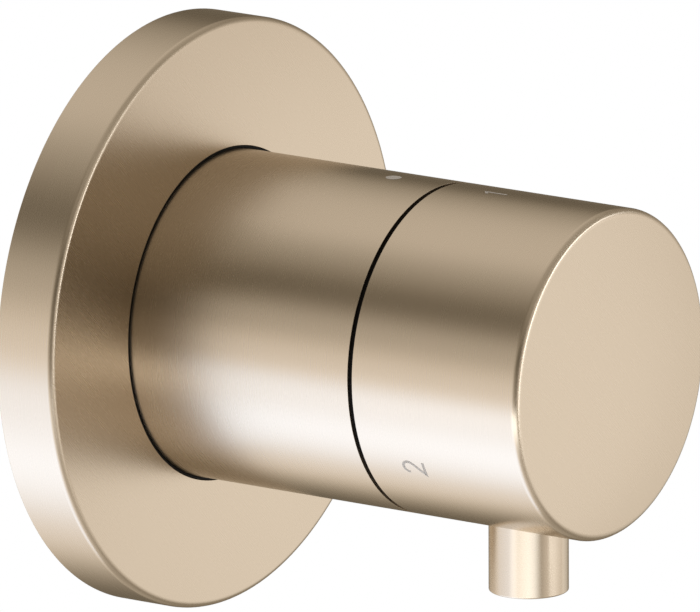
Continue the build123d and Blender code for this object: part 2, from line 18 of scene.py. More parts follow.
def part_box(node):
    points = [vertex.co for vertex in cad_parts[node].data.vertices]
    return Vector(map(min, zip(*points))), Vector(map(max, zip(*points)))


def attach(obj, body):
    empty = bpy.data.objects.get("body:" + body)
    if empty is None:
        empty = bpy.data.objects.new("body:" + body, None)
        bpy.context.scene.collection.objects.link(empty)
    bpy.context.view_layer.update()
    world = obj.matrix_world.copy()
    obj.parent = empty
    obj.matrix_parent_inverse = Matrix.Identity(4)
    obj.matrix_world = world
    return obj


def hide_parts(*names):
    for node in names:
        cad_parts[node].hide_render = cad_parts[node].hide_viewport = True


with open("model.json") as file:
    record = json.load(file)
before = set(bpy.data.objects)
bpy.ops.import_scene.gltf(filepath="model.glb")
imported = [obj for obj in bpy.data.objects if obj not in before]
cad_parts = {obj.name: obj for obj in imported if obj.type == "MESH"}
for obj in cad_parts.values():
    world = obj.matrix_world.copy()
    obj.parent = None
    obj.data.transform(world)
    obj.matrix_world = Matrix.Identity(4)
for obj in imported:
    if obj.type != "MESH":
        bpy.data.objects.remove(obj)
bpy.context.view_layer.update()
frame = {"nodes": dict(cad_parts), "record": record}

bl_info = {
    "name": "Diverter Valve Dressing",
    "version": (1, 0, 0),
    "blender": (4, 5, 0),
    "location": "View3D > Sidebar > Diverter Valve",
    "description": "Builds the visible pieces, finishes and studio of a concealed three-way diverter valve",
    "category": "Object",
}

MM = 0.001
FIXED_BODY = "root"
TURNING_BODY = "turning_handle"

# the play between seated pieces, and between the handle and the glide ring that it runs on
SEAT_GAP = 0.05 * MM
RUNNING_GAP = 0.1 * MM
# the wall of the glide ring, and the small roundings that the frame and the settings don't give
RING_WALL = 2.0 * MM
EASED_EDGE = 0.1 * MM
MOULDED_EDGE = 0.2 * MM
COLLAR_FILLET = 0.3 * MM
RIM_FILLET = 0.5 * MM


def node_reach(node, axis, side):
    """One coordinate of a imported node's box: side 0 is the lowest corner and side 1 the highest."""
    return float(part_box(node)[side][axis])


def outer_radius(node):
    """The radius of a turned node, from the top of its box."""
    return node_reach(node, 2, 1)


def back_of(node):
    """How far out of the wall a node begins."""
    return -node_reach(node, 1, 1)


def front_of(node):
    """How far out of the wall a node ends."""
    return -node_reach(node, 1, 0)


class TrimSizes(bpy.types.PropertyGroup):
    """Sizes of the trim that the frame's boxes don't give."""

    rosette_edge: FloatProperty(
        name="Rosette edge", description="Radius of its front edge", default=1.0 * MM, unit="LENGTH"
    )
    handle_edge: FloatProperty(
        name="Handle edge", description="Radius of its front edge", default=1.1 * MM, unit="LENGTH"
    )
    joint_edge: FloatProperty(
        name="Joint edge", description="Radius along the joint", default=0.03 * MM, unit="LENGTH"
    )
    lever_edge: FloatProperty(
        name="Lever edge", description="Radius of its lower edge", default=0.25 * MM, unit="LENGTH"
    )
    plate: FloatProperty(
        name="Plate", description="Thickness of the rosette's plate", default=2.0 * MM, unit="LENGTH"
    )
    rim: FloatProperty(name="Rim", description="Width of the rosette's rim", default=5.0 * MM, unit="LENGTH")
    groove: FloatProperty(
        name="Groove", description="Width and depth of the gasket groove", default=2.0 * MM, unit="LENGTH"
    )
    collar: FloatProperty(
        name="Collar", description="Wall of the seal's collar", default=2.0 * MM, unit="LENGTH"
    )
    hole: FloatProperty(
        name="Hole", description="Radius of the rosette's hole", default=25.5 * MM, unit="LENGTH"
    )
    sleeve_wall: FloatProperty(
        name="Sleeve wall", description="Wall of the sleeve", default=2.0 * MM, unit="LENGTH"
    )
    handle_wall: FloatProperty(
        name="Handle wall", description="Wall of the handle", default=3.0 * MM, unit="LENGTH"
    )
    handle_end: FloatProperty(
        name="Handle end", description="Thickness of its closed end", default=4.0 * MM, unit="LENGTH"
    )
    stud: FloatProperty(
        name="Stud", description="Radius of the lever's stud", default=3.0 * MM, unit="LENGTH"
    )
    lever_seat: FloatProperty(
        name="Lever seat", description="Depth of the lever's seat", default=1.2 * MM, unit="LENGTH"
    )
    segments: IntProperty(name="Segments", description="Divisions round a turned piece", default=256)


class MarkSizes(bpy.types.PropertyGroup):
    """Sizes and places of the index dot and the outlet numbers."""

    dot_place: FloatProperty(
        name="Dot place", description="Distance out of the wall", default=40.7 * MM, unit="LENGTH"
    )
    dot_radius: FloatProperty(
        name="Dot radius", description="Radius of the dot", default=1.2 * MM, unit="LENGTH"
    )
    digit_top: FloatProperty(
        name="Digit top", description="Its distance out of the wall", default=57.4 * MM, unit="LENGTH"
    )
    digit_height: FloatProperty(
        name="Digit height", description="Height of a number", default=3.75 * MM, unit="LENGTH"
    )
    stroke: FloatProperty(
        name="Stroke", description="Width of a number's line", default=0.43 * MM, unit="LENGTH"
    )
    lift: FloatProperty(
        name="Lift", description="Height of the paint film", default=0.012 * MM, unit="LENGTH"
    )


class FinishLook(bpy.types.PropertyGroup):
    """Colours and roughness of the finishes."""

    champagne: FloatVectorProperty(
        name="Champagne", description="Trim metal", default=(0.648, 0.550, 0.432), size=3, subtype="COLOR"
    )
    trim_roughness: FloatProperty(
        name="Trim roughness", description="Polish of the trim", default=0.27, subtype="FACTOR"
    )
    grain: FloatProperty(
        name="Grain", description="Anisotropy of the brushing", default=0.75, subtype="FACTOR"
    )
    paint: FloatVectorProperty(
        name="Paint", description="Numbers and dot", default=(0.68, 0.65, 0.63), size=3, subtype="COLOR"
    )


class StudioSettings(bpy.types.PropertyGroup):
    """The camera: its direction, roll, distance and framing."""

    azimuth: FloatProperty(
        name="Azimuth", description="Camera azimuth", default=math.radians(-55.006), subtype="ANGLE"
    )
    elevation: FloatProperty(
        name="Elevation", description="Camera elevation", default=math.radians(13.72), subtype="ANGLE"
    )
    roll: FloatProperty(name="Roll", description="Camera roll", default=math.radians(-0.26), subtype="ANGLE")
    distance: FloatProperty(name="Distance", description="Camera distance", default=2.5, unit="LENGTH")
    scale: FloatProperty(name="Scale", description="Picture points to a metre at the origin", default=6622.0)
    origin_x: FloatProperty(name="Origin across", description="Picture column of the origin", default=172.87)
    origin_y: FloatProperty(name="Origin down", description="Picture row of the origin", default=304.09)


SIZES = {"trim": TrimSizes, "marks": MarkSizes, "finish": FinishLook, "studio": StudioSettings}
PICTURE_WIDTH = 700
PICTURE_HEIGHT = 612
SENSOR = 36.0


# Shapes

# the steps of a rounding, the points on a number's arc and the angles above which an edge is drawn sharp
ROUNDING_STEPS = 8
ARC_POINTS = 14
SHARP_EDGE = math.radians(32)
SHARP_THREAD = math.radians(60)
# points nearer than the first of these are merged, and edges shorter than the second are taken out
MERGE_DISTANCE = 1e-7
SHORTEST_EDGE = 1e-8
# how far from a rounding its two extra points lie, as a share of its radius
FLAT_MARGIN = 0.12


def outline(corners, closed=True):
    """A profile with rounded corners, from (distance, radius, rounding) corners.

    Each rounded corner becomes an arc that is tangent to both of its sides: its centre lies one rounding
    inside both sides, and its angle runs from zero to the turn between them. Two more points, a little
    before and after the arc, keep the flat sides flat when the surface is shaded smooth.
    """
    points = np.array([corner[:2] for corner in corners], float)
    rounds = [corner[2] if len(corner) > 2 else 0.0 for corner in corners]
    rows = []
    for here, rounding in enumerate(rounds):
        point = points[here]
        if rounding == 0.0 or (not closed and here in (0, len(points) - 1)):
            rows.append(point[None])
            continue
        arrive = point - points[here - 1]
        leave = points[(here + 1) % len(points)] - point
        arrive /= np.linalg.norm(arrive)
        leave /= np.linalg.norm(leave)
        turn = np.arccos(np.clip(arrive @ leave, -1, 1))
        side = leave - arrive * (arrive @ leave)
        side /= np.linalg.norm(side)
        start = point - arrive * rounding * np.tan(turn / 2)
        angle = np.linspace(0, turn, ROUNDING_STEPS + 1)[:, None]
        arc = start + side * rounding * (1 - np.cos(angle)) + arrive * rounding * np.sin(angle)
        margin = rounding * FLAT_MARGIN
        rows += [start[None] - arrive * margin, arc, arc[-1:] + leave * margin]
    return np.vstack(rows)


def grid_faces(rows, columns, wrap_rows, wrap_columns):
    """Four-cornered faces of a grid of rows by columns, closed along either way where asked."""
    row = np.arange(rows if wrap_rows else rows - 1)[:, None]
    column = np.arange(columns if wrap_columns else columns - 1)[None]
    next_row = (row + 1) % rows
    next_column = (column + 1) % columns
    corners = [row * columns + column, next_row * columns + column]
    corners += [next_row * columns + next_column, row * columns + next_column]
    return np.stack([c.ravel() for c in np.broadcast_arrays(*corners)], axis=1)


def full_turn(steps):
    """The angles of one full turn in equal steps, as a row."""
    return np.linspace(0, 2 * np.pi, steps, endpoint=False)[None]


def about_valve_axis(distance, radius, angle):
    """Points at a distance out of the wall, a radius from the valve's axis and an angle from the top."""
    return np.stack(np.broadcast_arrays(radius * np.sin(angle), -distance, radius * np.cos(angle)), axis=-1)


def build_mesh(name, parts, sharp=SHARP_EDGE):
    """A mesh object from (points, faces) parts, doubles merged, faces outwards and shaded smooth."""
    points, faces, first = [], [], 0
    for part_points, part_faces in parts:
        points.append(part_points.reshape(-1, 3))
        faces.append(part_faces + first)
        first += len(points[-1])
    mesh = bpy.data.meshes.new(name)
    mesh.from_pydata(np.vstack(points).tolist(), [], np.vstack(faces).tolist())
    work = bmesh.new()
    work.from_mesh(mesh)
    bmesh.ops.remove_doubles(work, verts=work.verts, dist=MERGE_DISTANCE)
    bmesh.ops.dissolve_degenerate(work, edges=work.edges, dist=SHORTEST_EDGE)
    bmesh.ops.recalc_face_normals(work, faces=work.faces)
    work.to_mesh(mesh)
    work.free()
    mesh.shade_smooth()
    mesh.set_sharp_from_angle(angle=sharp)
    piece = bpy.data.objects.new(name, mesh)
    bpy.context.scene.collection.objects.link(piece)
    return piece


def turned(name, corners, segments, closed=True, place=about_valve_axis):
    """A turned piece: the outline of its corners, as (distance, radius), carried once round.

    A point of the surface is the place function of its distance, its radius and its angle round the axis.
    """
    profile = outline(corners, closed)
    grid = place(profile[:, None, 0], profile[:, None, 1], full_turn(segments))
    return build_mesh(name, [(grid, grid_faces(len(profile), segments, closed, True))])


def dress(piece, material, body, stands_for=()):
    """Gives a new piece its finish, the body that it rides on and the nodes that it stands for."""
    piece.data.materials.append(material)
    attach(piece, body)
    if stands_for:
        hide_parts(*stands_for)


# Finishes


def new_material(name):
    """An empty node material and its shader, joined to the output."""
    material = bpy.data.materials.new(name)
    material.use_nodes = True
    tree = material.node_tree
    tree.nodes.clear()
    output = tree.nodes.new("ShaderNodeOutputMaterial")
    shader = tree.nodes.new("ShaderNodeBsdfPrincipled")
    tree.links.new(shader.outputs["BSDF"], output.inputs["Surface"])
    return material, tree, shader


def node_of(material, kind):
    """The node of a kind that a material has one of."""
    return next(node for node in material.node_tree.nodes if node.type == kind)


def feed(tree, value, socket):
    """Links a value into an input where it is a socket, and sets the input to it where it is plain."""
    if isinstance(value, bpy.types.NodeSocket):
        tree.links.new(value, socket)
    else:
        socket.default_value = value


def coordinate(tree, kind):
    """A coordinate of the shaded point, such as Object or Normal."""
    return tree.nodes.new("ShaderNodeTexCoord").outputs[kind]


def split(tree, vector):
    """The three parts of a vector."""
    node = tree.nodes.new("ShaderNodeSeparateXYZ")
    tree.links.new(vector, node.inputs[0])
    return node.outputs


def combine(tree, x, y):
    """A flat vector from two sockets."""
    node = tree.nodes.new("ShaderNodeCombineXYZ")
    tree.links.new(x, node.inputs[0])
    tree.links.new(y, node.inputs[1])
    return node.outputs[0]


def math_node(tree, operation, *values):
    """One math node; each input is a socket or a number."""
    node = tree.nodes.new("ShaderNodeMath")
    node.operation = operation
    for value, socket in zip(values, node.inputs):
        feed(tree, value, socket)
    return node.outputs[0]


def vector_node(tree, operation, *values):
    """One vector math node; each input is a socket or three numbers."""
    node = tree.nodes.new("ShaderNodeVectorMath")
    node.operation = operation
    for value, socket in zip(values, node.inputs):
        feed(tree, value, socket)
    return node.outputs["Value" if operation == "DOT_PRODUCT" else "Vector"]


def noise(tree, vector, scale, detail=2.0, roughness=0.5):
    """A noise value between 0 and 1 at a vector."""
    node = tree.nodes.new("ShaderNodeTexNoise")
    node.inputs["Scale"].default_value = scale
    node.inputs["Detail"].default_value = detail
    node.inputs["Roughness"].default_value = roughness
    tree.links.new(vector, node.inputs["Vector"])
    return node.outputs["Fac"]


def spread(tree, value, middle, reach):
    """Maps a value from 0 to 1 onto a reach to each side of a middle."""
    node = tree.nodes.new("ShaderNodeMapRange")
    node.inputs["To Min"].default_value = middle - reach
    node.inputs["To Max"].default_value = middle + reach
    tree.links.new(value, node.inputs["Value"])
    return node.outputs["Result"]


# the numbers of a mix node's first input and of its output, for each kind of value that it mixes
MIX_SOCKETS = {"VECTOR": (4, 1), "RGBA": (6, 2)}


def mixed(tree, kind, factor, first, second):
    """The first vector or colour where the factor is 0, and the second where it is 1."""
    node = tree.nodes.new("ShaderNodeMix")
    node.data_type = kind
    start, result = MIX_SOCKETS[kind]
    tree.links.new(factor, node.inputs["Factor"])
    feed(tree, first, node.inputs[start])
    feed(tree, second, node.inputs[start + 1])
    return node.outputs[result]


def tinted(tree, shader, colour, value, depth):
    """Links the base colour: the colour, up to a depth darker where the value is low."""
    dark = (*[part * (1 - depth) for part in colour], 1)
    tree.links.new(mixed(tree, "RGBA", value, dark, (*colour, 1)), shader.inputs["Base Color"])


def add_bump(tree, shader, height, distance):
    """Links a bump of a real height in metres to the shader's normal."""
    bump = tree.nodes.new("ShaderNodeBump")
    bump.inputs["Distance"].default_value = distance
    tree.links.new(height, bump.inputs["Height"])
    tree.links.new(bump.outputs["Normal"], shader.inputs["Normal"])


VALVE_CENTRE = (0.0, 0.0, 0.0)
SLANT = math.sqrt(0.5)
# a face is a flat end where this share of its normal, or more, lies along the axis of the brushing
FLAT_FROM = 0.8
# the brushing: its lines and their lengths to a metre, and what they do to colour, polish and height
STREAKS_PER_METRE = 3600.0
STREAK_LENGTHS_PER_METRE = 110.0
STREAK_TINT = 0.06
STREAK_ROUGHNESS = 0.02
STREAK_HEIGHT = 0.0002 * MM
# slow changes of the polish from place to place
CLOUDS_PER_METRE = 60.0
CLOUD_ROUGHNESS = 0.008
# what the metal reflects at a flat angle
GRAZING_COLOUR = (0.88, 0.85, 0.8, 1)


def brushed_metal(name, look, centre=VALVE_CENTRE, along=1):
    """Brushed metal. Fine lines run round the axis, 1 for Y or 2 for Z, and slantwise across its flat ends.

    The line pattern is noise on (angle round the axis, place along it), much finer along the axis; on a
    flat end it is noise on coordinates turned by 45 degrees, much finer across the lines. The reflection
    spreads across the lines, so the tangent is the axis on the round and the across direction on an end.
    """
    material, tree, shader = new_material(name)
    aside = 3 - along
    axis, across, lines = np.zeros((3, 3))
    axis[along] = 1.0
    across[[0, aside]] = SLANT
    lines[[0, aside]] = SLANT, -SLANT
    place = vector_node(tree, "SUBTRACT", coordinate(tree, "Object"), centre)
    parts = split(tree, place)
    facing = split(tree, coordinate(tree, "Normal"))[along]
    angle = math_node(tree, "ARCTAN2", parts[0], parts[aside])
    round_lines = combine(
        tree,
        math_node(tree, "MULTIPLY", angle, STREAK_LENGTHS_PER_METRE * node_reach("sleeve", 0, 1)),
        math_node(tree, "MULTIPLY", parts[along], STREAKS_PER_METRE),
    )
    flat_lines = combine(
        tree,
        math_node(tree, "MULTIPLY", vector_node(tree, "DOT_PRODUCT", place, lines), STREAK_LENGTHS_PER_METRE),
        math_node(tree, "MULTIPLY", vector_node(tree, "DOT_PRODUCT", place, across), STREAKS_PER_METRE),
    )
    on_flat = math_node(tree, "GREATER_THAN", math_node(tree, "ABSOLUTE", facing), FLAT_FROM)
    line_place = mixed(tree, "VECTOR", on_flat, round_lines, flat_lines)
    fine = noise(tree, line_place, 1.0, detail=3.0, roughness=0.6)
    broad = noise(tree, coordinate(tree, "Object"), CLOUDS_PER_METRE)
    tinted(tree, shader, look.champagne, fine, STREAK_TINT)
    streaks = spread(tree, fine, look.trim_roughness, STREAK_ROUGHNESS)
    clouds = spread(tree, broad, 0.0, CLOUD_ROUGHNESS)
    tree.links.new(math_node(tree, "ADD", streaks, clouds), shader.inputs["Roughness"])
    shader.inputs["Metallic"].default_value = 1.0
    shader.inputs["Anisotropic"].default_value = look.grain
    shader.inputs["Specular Tint"].default_value = GRAZING_COLOUR
    tangent = tree.nodes.new("ShaderNodeVectorTransform")
    tangent.vector_type = "VECTOR"
    tangent.convert_from = "OBJECT"
    tangent.convert_to = "WORLD"
    tree.links.new(mixed(tree, "VECTOR", on_flat, axis, across), tangent.inputs[0])
    tree.links.new(tangent.outputs[0], shader.inputs["Tangent"])
    add_bump(tree, shader, fine, STREAK_HEIGHT)
    return material


GRAIN_ROUGHNESS = 0.06


def grained(name, colour, metallic, roughness, grain_scale, grain_height, tint=0.1, shine=0.5):
    """A plain finish with a fine grain: noise on the object's coordinates sets colour, polish and bump."""
    material, tree, shader = new_material(name)
    grain = noise(tree, coordinate(tree, "Object"), grain_scale, detail=4.0, roughness=0.6)
    tinted(tree, shader, colour, grain, tint)
    tree.links.new(spread(tree, grain, roughness, GRAIN_ROUGHNESS), shader.inputs["Roughness"])
    shader.inputs["Metallic"].default_value = metallic
    shader.inputs["Specular IOR Level"].default_value = shine
    add_bump(tree, shader, grain, grain_height)
    return material


RINGS_PER_METRE = 2200.0
RING_TINT = 0.12
RING_ROUGHNESS = 0.05
RING_HEIGHT = 0.004 * MM


def turned_brass(name, colour, roughness):
    """Brass from the lathe: fine rings round the valve's axis.

    The rings are noise on two numbers: the distance along the axis and the radius from it, which is the
    square root of x squared plus z squared.
    """
    material, tree, shader = new_material(name)
    x, y, z = split(tree, coordinate(tree, "Object"))
    squares = [math_node(tree, "MULTIPLY", part, part) for part in (x, z)]
    radius = math_node(tree, "SQRT", math_node(tree, "ADD", *squares))
    rings = noise(tree, combine(tree, y, radius), RINGS_PER_METRE)
    tinted(tree, shader, colour, rings, RING_TINT)
    tree.links.new(spread(tree, rings, roughness, RING_ROUGHNESS), shader.inputs["Roughness"])
    shader.inputs["Metallic"].default_value = 1.0
    add_bump(tree, shader, rings, RING_HEIGHT)
    return material


BLACK = (0.006, 0.006, 0.006)
# colour, metallic share, roughness, grains to a metre, height of the grain, depth of its tint and shine
SEAL_FINISH = (BLACK, 0.0, 0.55, 2500.0, 0.004 * MM, 0.1, 0.1)
RING_FINISH = (BLACK, 0.0, 0.5, 1800.0, 0.003 * MM, 0.1, 0.1)
FLOOR_FINISH = ((0.86, 0.86, 0.86), 0.0, 0.8, 40.0, 0.1 * MM, 0.02)
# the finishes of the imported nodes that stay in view, each with the nodes that get it
DISCS = ["fixed_disc", "moving_disc"]
SLIDES = ["cage", "disc_driver", "slip_washer"]
SEALS = ["holder_o_rings", "port_seal", "body_o_ring", "spindle_o_rings", "hub_o_ring"]
PLAIN_FINISHES = (
    ("cast_brass_body", ["valve_body"], (0.64, 0.51, 0.28), 1.0, 0.42, 900.0, 0.02 * MM, 0.2),
    ("plain_steel", ["circlip", "hub_screw"], (0.55, 0.56, 0.58), 1.0, 0.3, 1500.0, 0.003 * MM),
    ("lapped_ceramic", DISCS, (0.86, 0.85, 0.82), 0.0, 0.15, 2000.0, 0.001 * MM, 0.04),
    ("white_acetal", SLIDES, (0.8, 0.8, 0.77), 0.0, 0.45, 1800.0, 0.003 * MM, 0.05),
    ("holder_acetal", ["sleeve_holder"], (0.02, 0.02, 0.02), 0.0, 0.5, 1800.0, 0.003 * MM),
    ("black_rubber_rings", SEALS, BLACK, 0.0, 0.5, 2500.0, 0.004 * MM),
    ("foam_rubber", ["wall_gasket"], (0.03, 0.03, 0.032), 0.0, 0.85, 3500.0, 0.06 * MM, 0.4),
)
TURNED_NODES = ["cartridge_housing", "gland_nut", "spindle", "stop_washer", "stop_ring", "hub"]
TURNED_COLOUR, TURNED_ROUGHNESS = (0.66, 0.51, 0.25), 0.28
THREAD_COLOUR, THREAD_ROUGHNESS = (0.62, 0.47, 0.22), 0.3


def paint_nodes(material, nodes):
    """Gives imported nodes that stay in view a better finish."""
    for node in nodes:
        shown = frame["nodes"][node]
        shown.data.materials.clear()
        shown.data.materials.append(material)


# Pieces


class Builder:
    """What every operator of this panel shares."""

    bl_options = {"REGISTER", "UNDO"}

    @staticmethod
    def sizes(context, *groups):
        """The scene's groups of settings, in the order asked for."""
        return [getattr(context.scene, "valve_" + group) for group in groups]


class VALVE_OT_rosette(Builder, bpy.types.Operator):
    """Builds the rosette: a turned cover with a rounded edge, a rim, a gasket groove and a seal collar"""

    bl_idname = "valve.rosette"
    bl_label = "Rosette"

    def execute(self, context):
        trim, look = self.sizes(context, "trim", "finish")
        radius, depth = outer_radius("rosette"), front_of("rosette")
        seal_radius = outer_radius("rosette_seal") + SEAT_GAP
        collar_start = back_of("rosette_seal")
        inside = depth - trim.plate
        groove_middle = radius - trim.rim / 2
        corners = [
            (0, radius, EASED_EDGE),
            (depth, radius, trim.rosette_edge),
            (depth, trim.hole, trim.joint_edge),
            (inside, trim.hole),
            (inside, seal_radius),
            (collar_start, seal_radius),
            (collar_start, seal_radius + trim.collar),
            (inside, seal_radius + trim.collar, COLLAR_FILLET),
            (inside, radius - trim.rim, RIM_FILLET),
            (0, radius - trim.rim),
            (0, groove_middle - trim.groove / 2),
            (trim.groove, groove_middle - trim.groove / 2),
            (trim.groove, groove_middle + trim.groove / 2),
            (0, groove_middle + trim.groove / 2),
        ]
        piece = turned("rosette_cover", corners, trim.segments)
        dress(piece, brushed_metal("brushed_rosette", look), FIXED_BODY, ["rosette"])
        return {"FINISHED"}


class VALVE_OT_sleeve(Builder, bpy.types.Operator):
    """Builds the fixed sleeve, a plain tube from behind the rosette to the joint"""

    bl_idname = "valve.sleeve"
    bl_label = "Sleeve"

    def execute(self, context):
        trim, look = self.sizes(context, "trim", "finish")
        radius, start, front = outer_radius("sleeve"), back_of("sleeve"), front_of("sleeve")
        corners = [
            (start, radius, trim.joint_edge),
            (front, radius, trim.joint_edge),
            (front, radius - trim.sleeve_wall),
            (start, radius - trim.sleeve_wall),
        ]
        piece = turned("sleeve_tube", corners, trim.segments)
        dress(piece, brushed_metal("brushed_sleeve", look), FIXED_BODY, ["sleeve"])
        return {"FINISHED"}


class VALVE_OT_handle(Builder, bpy.types.Operator):
    """Builds the turning handle, a deep cup with a rounded, closed front end"""

    bl_idname = "valve.handle"
    bl_label = "Handle"

    def execute(self, context):
        trim, look = self.sizes(context, "trim", "finish")
        radius, back, front = outer_radius("handle"), back_of("handle"), front_of("handle")
        corners = [
            (front, 0),
            (front, radius, trim.handle_edge),
            (back, radius, trim.joint_edge),
            (back, radius - trim.handle_wall),
            (front - trim.handle_end, radius - trim.handle_wall),
            (front - trim.handle_end, 0),
        ]
        piece = turned("handle_cup", corners, trim.segments, closed=False)
        dress(piece, brushed_metal("brushed_handle", look), TURNING_BODY, ["handle"])
        return {"FINISHED"}


class VALVE_OT_lever(Builder, bpy.types.Operator):
    """Builds the short pin lever under the handle with the stud that it screws in by"""

    bl_idname = "valve.lever"
    bl_label = "Lever pin"

    def execute(self, context):
        trim, look = self.sizes(context, "trim", "finish")
        low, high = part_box("lever_pin")
        middle = float(low[1] + high[1]) / 2
        radius = float(high[0] - low[0]) / 2
        stud_end, foot = -float(high[2]), -float(low[2])
        seat = outer_radius("handle") - trim.lever_seat
        corners = [
            (stud_end, 0),
            (stud_end, trim.stud, MOULDED_EDGE),
            (seat, trim.stud),
            (seat, radius),
            (foot, radius, trim.lever_edge),
            (foot, 0),
        ]

        def about_lever_axis(distance, around, angle):
            """Points at a distance below the valve's axis and a radius round the lever's own axis."""
            x, y = around * np.cos(angle), middle + around * np.sin(angle)
            return np.stack(np.broadcast_arrays(x, y, -distance), axis=-1)

        piece = turned("lever_bar", corners, trim.segments // 2, False, about_lever_axis)
        finish = brushed_metal("brushed_lever", look, centre=(0.0, middle, 0.0), along=2)
        dress(piece, finish, TURNING_BODY, ["lever_pin"])
        return {"FINISHED"}


class VALVE_OT_seals(Builder, bpy.types.Operator):
    """Builds the black ring in the rosette's hole and the black ring in the joint"""

    bl_idname = "valve.seals"
    bl_label = "Seal and glide ring"

    def execute(self, context):
        (trim,) = self.sizes(context, "trim")
        rubber = grained("black_rubber_seal", *SEAL_FINISH)
        seal = turned("hole_seal", self.seal_corners(trim), trim.segments)
        dress(seal, rubber, FIXED_BODY, ["rosette_seal"])
        acetal = grained("black_acetal_ring", *RING_FINISH)
        ring = turned("joint_ring", self.ring_corners(trim), trim.segments)
        dress(ring, acetal, FIXED_BODY, ["glide_ring"])
        return {"FINISHED"}

    @staticmethod
    def seal_corners(trim):
        """The seal's profile: a lip in the rosette's hole, and behind it a foot in the collar."""
        bore, foot = outer_radius("sleeve") + SEAT_GAP, outer_radius("rosette_seal")
        start, front = back_of("rosette_seal"), front_of("rosette_seal")
        plate, lip = front_of("rosette") - trim.plate, trim.hole - SEAT_GAP
        return [
            (start, bore),
            (start, foot),
            (plate, foot),
            (plate, lip),
            (front, lip, EASED_EDGE),
            (front, bore, EASED_EDGE),
        ]

    @staticmethod
    def ring_corners(trim):
        """The glide ring's profile: a tail in the sleeve, a flange in the joint, a spigot in the handle."""
        tail, spigot, flange = back_of("glide_ring"), front_of("glide_ring"), outer_radius("glide_ring")
        sleeve_front, flange_front = front_of("sleeve"), back_of("handle") - RUNNING_GAP
        handle_bore = outer_radius("handle") - trim.handle_wall - SEAT_GAP
        sleeve_bore = outer_radius("sleeve") - trim.sleeve_wall - SEAT_GAP
        return [
            (tail, handle_bore - RING_WALL),
            (tail, sleeve_bore, MOULDED_EDGE),
            (sleeve_front, sleeve_bore),
            (sleeve_front, flange),
            (flange_front, flange),
            (flange_front, handle_bore),
            (spigot, handle_bore, MOULDED_EDGE),
            (spigot, handle_bore - RING_WALL),
        ]


# as shares of a number's height: the longest step along its line, and the step that is left out as too
# short. A joint's mitre is cut where the cosine of half its turn is under the limit.
PATH_STEP = 0.06
SHORTEST_STEP = PATH_STEP / 50
MITRE_LIMIT = 0.35
# the number of each outlet and its angle about the axis when the handle is at rest
OUTLETS = ((1, 0.0), (2, -120.0), (3, 120.0))
DOT_RINGS, DOT_TURNS = 6, 48


def finer(path):
    """The same path with points on its straight runs, so that it follows the round it is laid on."""
    lengths = np.linalg.norm(np.diff(path, axis=0), axis=1)
    place = np.concatenate([[0.0], np.cumsum(lengths)])
    between = np.arange(0.0, place[-1], PATH_STEP)
    every = np.union1d(np.round(place, 9), np.round(between, 9))
    every = every[np.concatenate([[True], np.diff(every) > SHORTEST_STEP])]
    return np.stack([np.interp(every, place, path[:, axis]) for axis in (0, 1)], axis=1)


def stroke_ribbon(path, width):
    """A flat ribbon along a path of (right, down) points, with mitred joints.

    At each point the ribbon's edges lie half a width to each side, along the mean of the two neighbouring
    normals, lengthened by one over the cosine of half the turn so that the width stays the same.
    """
    steps = np.diff(path, axis=0)
    steps /= np.linalg.norm(steps, axis=1, keepdims=True)
    before = np.vstack([steps[:1], steps])
    after = np.vstack([steps, steps[-1:]])
    mean = before + after
    mean /= np.linalg.norm(mean, axis=1, keepdims=True)
    stretch = 1 / np.maximum(np.sum(mean * after, axis=1, keepdims=True), MITRE_LIMIT)
    side = np.stack([-mean[:, 1], mean[:, 0]], axis=1) * stretch * width / 2
    return np.stack([path - side, path + side], axis=1)


def arc_points(centre, radius, start, end):
    """Points on a circle's arc, with angles in degrees, zero to the right and growing downwards."""
    angle = np.radians(np.linspace(start, end, ARC_POINTS))
    return np.stack([centre[0] + radius * np.cos(angle), centre[1] + radius * np.sin(angle)], axis=1)


def digit_paths(digit):
    """The lines of a number in a box one unit high, as paths of (right, down) points from its middle."""
    if digit == 1:
        return [np.array([(-0.2, 0.19), (0.03, 0.0), (0.03, 1.0)])]
    if digit == 2:
        bow = arc_points((0.0, 0.27), 0.27, 185, 385)
        return [np.vstack([bow, [(0.18, 0.49), (-0.3, 0.985), (0.32, 0.985)]])]
    upper = arc_points((0.0, 0.25), 0.25, 200, 440)
    lower = arc_points((0.0, 0.73), 0.27, 280, 530)
    return [upper, lower]


